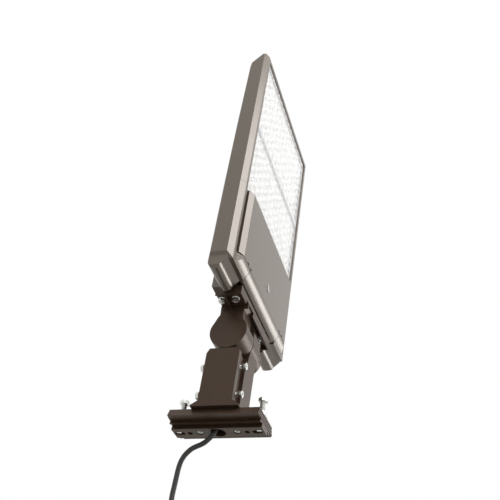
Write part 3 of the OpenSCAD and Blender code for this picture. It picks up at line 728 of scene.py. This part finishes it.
class AREALIGHT_OT_supply_lead(bpy.types.Operator):
    """Run the supply lead out of the pole plate and let it hang, with its three bare cores"""

    bl_idname = "arealight.supply_lead"
    bl_label = "Supply lead"

    def execute(self, context):
        size = sizes()
        jacket = rubber("lead jacket", finishes().lead_jacket, 0.5)
        line = smooth_line([Vector((0, y, z)) * MM for y, z in LEAD_ROUTE], 4)
        lead = round_lead("supply_lead", line, size.lead_radius, jacket)
        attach(lead, "mount")
        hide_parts("supply_cable")

        copper = zinc_plate("copper strands", srgb(214, 138, 96))
        cores = [
            bare_core(name, line[-1], degrees, tint, copper)
            for name, degrees, tint in (
                ("core_black", 30, srgb(30, 30, 31)),
                ("core_white", 150, srgb(226, 226, 222)),
                ("core_green", 270, srgb(40, 120, 62)),
            )
        ]
        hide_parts("cable_cores")
        run = sum((b - a).length for a, b in zip(line, line[1:]))
        return {"FINISHED"}


class AREALIGHT_OT_head_castings(bpy.types.Operator):
    """Powder coat the housing, the lens frame and the door"""

    bl_idname = "arealight.head_castings"
    bl_label = "Head castings"

    def execute(self, context):
        bronze = powder_coat("bronze powder coat", finishes().head_bronze, 0.28, 1.0, head_seam_shade)
        dress(("housing", "lens_frame", "door"), bronze, sizes().edge_round)
        return {"FINISHED"}


class AREALIGHT_OT_arm_castings(bpy.types.Operator):
    """Powder coat the arm, the sleeve, the spigot and the pole plate"""

    bl_idname = "arealight.arm_castings"
    bl_label = "Arm castings"

    def execute(self, context):
        bronze = powder_coat("dark bronze powder coat", finishes().arm_bronze, 0.38, 0.3)
        names = ("arm_bracket", "arm_sleeve", "spigot_base", "pole_plate")
        dress(names, bronze, sizes().edge_round)
        return {"FINISHED"}


class AREALIGHT_OT_optics(bpy.types.Operator):
    """Mould the two optic plates, with a smooth dome over each light source"""

    bl_idname = "arealight.optics"
    bl_label = "Optic plates"

    def execute(self, context):
        size = sizes()
        for half in ("lower", "upper"):
            acrylic = clear_acrylic(half, finishes().acrylic)
            low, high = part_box("leds_" + half)
            centres_x, centres_z = (
                [
                    first + CHIP / 2 + i * size.dome_pitch
                    for i in range(round((last - first - CHIP) / size.dome_pitch) + 1)
                ]
                for first, last in ((low.x, high.x), (low.z, high.z))
            )
            form = bmesh.new()
            optic_plate(form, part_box("lens_" + half), centres_x, centres_z, size)
            plate = piece("optic_plate_" + half, form, [acrylic], "head")
            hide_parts("lens_" + half)
        return {"FINISHED"}


class AREALIGHT_OT_light_boards(bpy.types.Operator):
    """Finish the light boards and their light sources"""

    bl_idname = "arealight.light_boards"
    bl_label = "Light boards"

    def execute(self, context):
        tints = finishes()
        for half in ("lower", "upper"):
            dress(("led_board_" + half,), light_board(half, tints.solder_mask))
            dress(("leds_" + half,), light_source(half, tints.phosphor))
        return {"FINISHED"}


class AREALIGHT_OT_seals(bpy.types.Operator):
    """Finish the gaskets, the grommet and the cable gland"""

    bl_idname = "arealight.seals"
    bl_label = "Seals and gland"

    def execute(self, context):
        silicone = rubber("black silicone", finishes().silicone)
        dress(("lens_gasket", "door_gasket", "arm_gasket", "wire_grommet"), silicone)
        nylon = moulded("black nylon", srgb(34, 34, 35), 0.5)
        dress(("cable_gland",), nylon, 0.4 * MM)
        return {"FINISHED"}


class AREALIGHT_OT_gear(bpy.types.Operator):
    """Finish the tray, the driver, the surge protector and the terminal block, and the arm's washer"""

    bl_idname = "arealight.gear"
    bl_label = "Driver bay gear"

    def execute(self, context):
        dress(("gear_tray",), sheet_steel("spangled sheet", srgb(206, 208, 210)), 0.3 * MM)
        case = powder_coat("driver case paint", srgb(62, 62, 65), 0.4, 0.5)
        dress(("led_driver",), case, 0.7 * MM)
        pale = moulded("pale nylon", srgb(224, 223, 216))
        dress(("surge_protector", "terminal_block"), pale, 0.4 * MM)
        dress(("friction_washer",), moulded("pressed fibre", srgb(140, 124, 100), 0.7))
        return {"FINISHED"}


class AREALIGHT_OT_fasteners(bpy.types.Operator):
    """Plate the bolts, screws, pins, washers and the latch"""

    bl_idname = "arealight.fasteners"
    bl_label = "Fasteners"

    def execute(self, context):
        pitch, tint = sizes().thread_pitch, finishes().zinc
        for name, axis, shank, thread_pitch in (
            ("pole_bolts", 2, 5 * MM, 1.5 * MM),
            ("front_set_bolts", 1, 4 * MM, pitch),
            ("back_set_bolts", 1, 4 * MM, pitch),
            ("arm_bolts", 2, 4 * MM, pitch),
        ):
            middles = [at[:axis] + at[axis + 1:] for at in loose_centres(NODES[name])]
            plate = zinc_plate(name + " zinc", tint, thread=(axis, middles, shank, thread_pitch))
            dress((name,), plate, 0.5 * MM)
        plain = zinc_plate("bright zinc", tint)
        dress(
            ("pole_bolt_nuts", "pole_bolt_washers", "pivot_bolt", "pivot_washer", "plate_screws"),
            plain, 0.4 * MM,
        )
        satin = zinc_plate("satin nickel", srgb(244, 243, 240), metallic=0.5)
        dress(("door_latch",), satin, 0.3 * MM)
        dress(("frame_screws", "tray_screws", "hinge_pins"), plain, 0.25 * MM)
        return {"FINISHED"}


# ---- Studio ----


def lay_floor(height):
    """A pale floor: light paper to the eye, and a plain grey to the light that falls on it."""
    form = bmesh.new()
    bmesh.ops.create_grid(form, x_segments=4, y_segments=4, size=FLOOR_REACH)
    mesh = bpy.data.meshes.new("floor")
    form.to_mesh(mesh)
    form.free()
    floor = bpy.data.objects.new("floor", mesh)
    floor.location.z = height
    bpy.context.scene.collection.objects.link(floor)
    pale = Finish("pale floor", roughness=0.9)
    paper = pale.blend(srgb(246, 246, 245), srgb(250, 250, 249), pale.noise(400 * MM))
    pale.put("Base Color", pale.blend(srgb(168, 166, 162), paper, pale.shown()))
    mesh.materials.append(pale.material)


def light_room(strength):
    """An even light, a little stronger from above, and a white background."""
    world = bpy.data.worlds.new("studio")
    bpy.context.scene.world = world
    world.use_nodes = True
    room = Shading(world.node_tree)
    toward = room.node("ShaderNodeTexCoord", output="Generated")
    height = room.node("ShaderNodeSeparateXYZ", None, {0: toward}, output=2)
    white = (1, 1, 1, 1)
    light = room.node("ShaderNodeBackground", None, {0: white, 1: height * (0.25 * strength) + strength})
    background = room.node("ShaderNodeBackground", None, {0: white, 1: 1})
    both = room.node("ShaderNodeMixShader", None, {0: room.shown(), 1: light, 2: background})
    room.end("ShaderNodeOutputWorld", both.socket)


# The lamps hang this far in metres from the middle of the object
LAMP_MIDDLE = (0, -0.02, 0.35)
LAMP_REACH = 2.3


def hang_lamp(name, toward, size, power):
    """A square soft lamp on that side, turned to the object."""
    data = bpy.data.lights.new(name, "AREA")
    data.shape = "SQUARE"
    data.size = size
    data.energy = power
    lamp = bpy.data.objects.new(name, data)
    lamp.visible_camera = False
    away = Vector(toward).normalized()
    lamp.location = Vector(LAMP_MIDDLE) + away * LAMP_REACH
    lamp.rotation_mode = "QUATERNION"
    lamp.rotation_quaternion = (-away).to_track_quat("-Z", "Y")
    bpy.context.scene.collection.objects.link(lamp)


class AREALIGHT_OT_studio(bpy.types.Operator):
    """Lay the pale floor and hang the soft lamps"""

    bl_idname = "arealight.studio"
    bl_label = "Studio"

    def execute(self, context):
        studio = context.scene.arealight_studio
        context.scene.view_settings.view_transform = "Standard"
        lay_floor(studio.floor_height)
        light_room(studio.room_light)
        hang_lamp("lamp_above", (-0.42, -0.66, 0.62), 1.3, studio.lamp_power)
        hang_lamp("lamp_beside", (0.71, -0.70, 0.02), 1.0, studio.lamp_power * 0.7)
        return {"FINISHED"}


OPERATORS = (
    AREALIGHT_OT_viewpoint,
    AREALIGHT_OT_supply_lead,
    AREALIGHT_OT_head_castings,
    AREALIGHT_OT_arm_castings,
    AREALIGHT_OT_optics,
    AREALIGHT_OT_light_boards,
    AREALIGHT_OT_seals,
    AREALIGHT_OT_gear,
    AREALIGHT_OT_fasteners,
    AREALIGHT_OT_studio,
)
GROUPS = (AREALIGHT_PG_finishes, AREALIGHT_PG_sizes, AREALIGHT_PG_studio)


class AREALIGHT_PT_panel(bpy.types.Panel):
    """Area light's colours, sizes and steps"""

    bl_idname = "AREALIGHT_PT_panel"
    bl_label = "Area light"
    bl_space_type = "VIEW_3D"
    bl_region_type = "UI"
    bl_category = "Area light"

    def draw(self, context):
        for group in ("arealight_finishes", "arealight_sizes", "arealight_studio"):
            settings = getattr(context.scene, group)
            box = self.layout.box()
            for name in settings.bl_rna.properties.keys():
                if name not in ("rna_type", "name"):
                    box.prop(settings, name)
        for operator in OPERATORS:
            self.layout.operator(operator.bl_idname)


def register():
    """Registers the groups, the operators and the panel."""
    for group in (*GROUPS, *OPERATORS, AREALIGHT_PT_panel):
        bpy.utils.register_class(group)
    bpy.types.Scene.arealight_finishes = PointerProperty(type=AREALIGHT_PG_finishes)
    bpy.types.Scene.arealight_sizes = PointerProperty(type=AREALIGHT_PG_sizes)
    bpy.types.Scene.arealight_studio = PointerProperty(type=AREALIGHT_PG_studio)


def unregister():
    """Takes away what register added."""
    del bpy.types.Scene.arealight_studio
    del bpy.types.Scene.arealight_sizes
    del bpy.types.Scene.arealight_finishes
    for group in reversed((*GROUPS, *OPERATORS, AREALIGHT_PT_panel)):
        bpy.utils.unregister_class(group)


def main():
    """Dresses the frame."""
    register()
    for operator in OPERATORS:
        space, step = operator.bl_idname.split(".")
        getattr(getattr(bpy.ops, space), step)()


if __name__ == "__main__":
    main()
